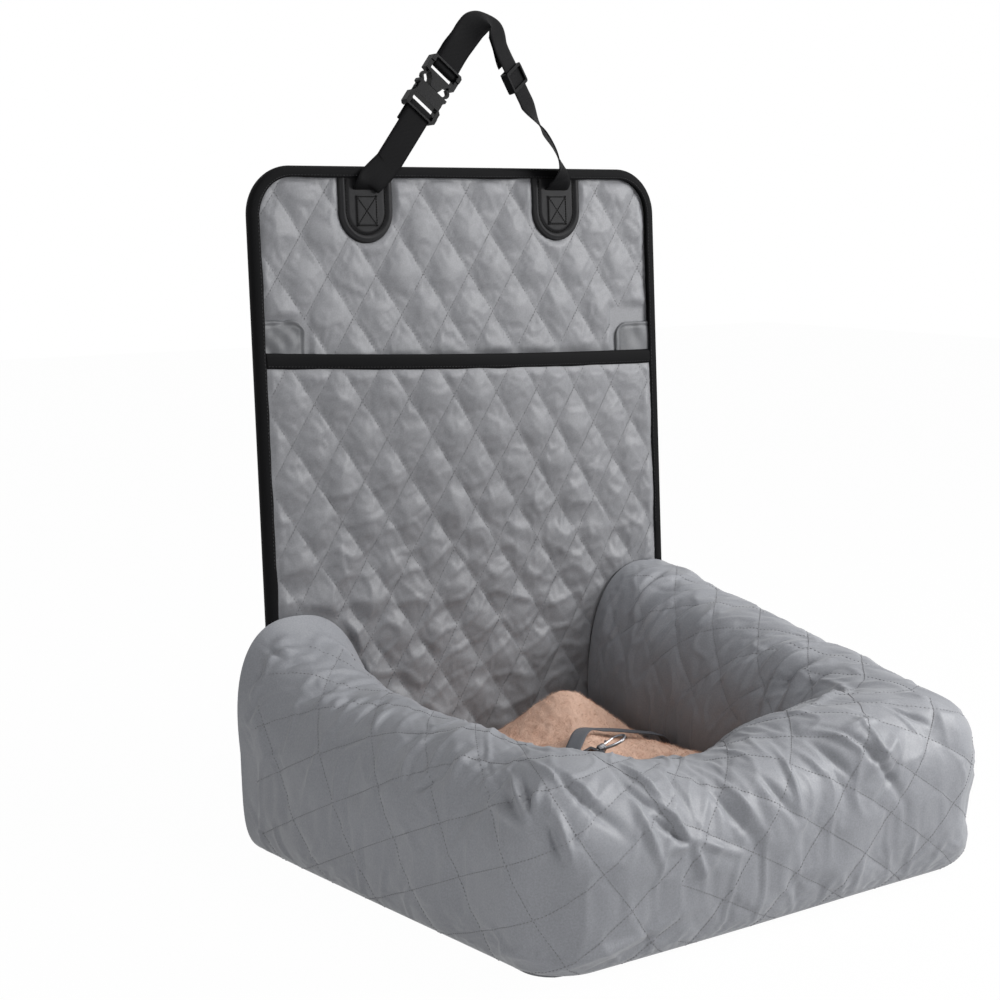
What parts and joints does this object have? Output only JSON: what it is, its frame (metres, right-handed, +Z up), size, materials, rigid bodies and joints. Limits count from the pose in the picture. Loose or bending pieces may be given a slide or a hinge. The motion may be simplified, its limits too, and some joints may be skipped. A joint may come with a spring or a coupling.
{
  "type": "dog car seat",
  "caption": "Quilted car seat for a small dog: a stuffed nest on a folding back panel with a pocket, a buckled headrest strap and a hooked tether.",
  "frame": {"origin": "centre of the nest's underside", "axes": "+Z up, +X to the right as seen from the front, -Y to the front, where the nest is, +Y to the back panel"},
  "size_m": [0.5796, 0.5056, 0.8145],
  "materials": {
    "satin_grey_fabric": "satin woven polyester, quilted",
    "tab_fabric": "smooth woven",
    "backing_fabric": "plain woven",
    "black_binding": "ribbed tape",
    "black_webbing": "woven webbing",
    "grey_leather": "grained",
    "black_plastic": "moulded",
    "zip_tape_fabric": "woven tape",
    "dark_metal": "dark plated",
    "grip_sheet": "dotted grip cloth",
    "board_plastic": "matt sheet",
    "foam": "soft foam",
    "peach_plush": "brushed pile",
    "grey_webbing": "woven webbing",
    "hook_metal": "polished",
    "gate_metal": "polished, darker"
  },
  "bodies": {
    "nest": {"underside_sheet": "grip_sheet", "floor_board": "board_plastic", "floor_foam": "foam", "bolster_left": "satin_grey_fabric", "bolster_front": "satin_grey_fabric", "bolster_right": "satin_grey_fabric", "plush_pad": "peach_plush", "panel_lower_pad": "satin_grey_fabric", "panel_lower_backing": "backing_fabric", "panel_lower_binding_left": "black_binding", "panel_lower_binding_right": "black_binding", "pocket_foot": "satin_grey_fabric", "zip_tape": "zip_tape_fabric", "zip_teeth": "black_plastic", "tether_anchor": "grey_webbing", "tether_webbing": "grey_webbing", "hook_eye": "hook_metal"},
    "back_panel": {"panel_upper_pad": "satin_grey_fabric", "panel_upper_backing": "backing_fabric", "panel_upper_binding": "black_binding", "pocket_front": "satin_grey_fabric", "pocket_binding": "black_binding", "pocket_tab_left": "tab_fabric", "pocket_tab_right": "tab_fabric", "strap_patch_left": "grey_leather", "strap_patch_right": "grey_leather", "strap_left": "black_webbing", "strap_right_root": "black_webbing", "buckle_socket": "black_plastic"},
    "strap_loop": {"headrest_strap": "black_webbing", "buckle_plug": "black_plastic"},
    "prong_left": {"buckle_prong_left": "black_plastic"},
    "prong_right": {"buckle_prong_right": "black_plastic"},
    "slider": {"strap_slider": "black_plastic", "strap_end_loop": "black_webbing"},
    "zip_runner": {"zip_slider": "dark_metal"},
    "zip_tab": {"zip_pull": "dark_metal"},
    "hook": {"hook_body": "hook_metal"},
    "gate": {"hook_gate": "gate_metal"}
  },
  "joints": [
    {"name": "panel_fold", "type": "hinge", "parent": "nest", "child": "back_panel", "pos_m": [0, 0.20103, 0.25143], "axis": [1, 0, 0], "range_deg": [-20, 90]},
    {"name": "buckle_release", "type": "slide", "parent": "back_panel", "child": "strap_loop", "axis": [0.6157, 0.0467, 0.7866], "range_m": [0, 0.09]},
    {"name": "prong_left_squeeze", "type": "hinge", "parent": "strap_loop", "child": "prong_left", "pos_m": [-0.04055, 0.23261, 0.7496], "axis": [0, -0.9982, 0.0593], "range_deg": [0, 9], "stiffness_Nm_per_rad": 0.2},
    {"name": "prong_right_squeeze", "type": "hinge", "parent": "strap_loop", "child": "prong_right", "pos_m": [-0.01849, 0.23159, 0.7324], "axis": [0, 0.9982, -0.0593], "range_deg": [0, 9], "stiffness_Nm_per_rad": 0.2},
    {"name": "strap_slider_adjust", "type": "slide", "parent": "strap_loop", "child": "slider", "axis": [0.4891, -0.0517, -0.8707], "range_m": [0, 0.015]},
    {"name": "zip_slide", "type": "slide", "parent": "nest", "child": "zip_runner", "axis": [1, 0, 0], "range_m": [0, 0.445]},
    {"name": "zip_pull_swing", "type": "hinge", "parent": "zip_runner", "child": "zip_tab", "pos_m": [-0.2225, 0.20237, 0.01443], "axis": [0, -0.0593, -0.9982], "range_deg": [0, 160]},
    {"name": "hook_swivel", "type": "hinge", "parent": "nest", "child": "hook", "pos_m": [-0.0405, -0.0334, 0.1096], "axis": [0.9614, 0.01, 0.2751], "continuous": true},
    {"name": "hook_gate_open", "type": "hinge", "parent": "hook", "child": "gate", "pos_m": [-0.02247, -0.02918, 0.11477], "axis": [0.2751, 0.0029, -0.9614], "range_deg": [0, 25], "stiffness_Nm_per_rad": 0.05}
  ],
  "couplings": [
    {"joint": "prong_right_squeeze", "follows": "prong_left_squeeze", "ratio": 1}
  ]
}
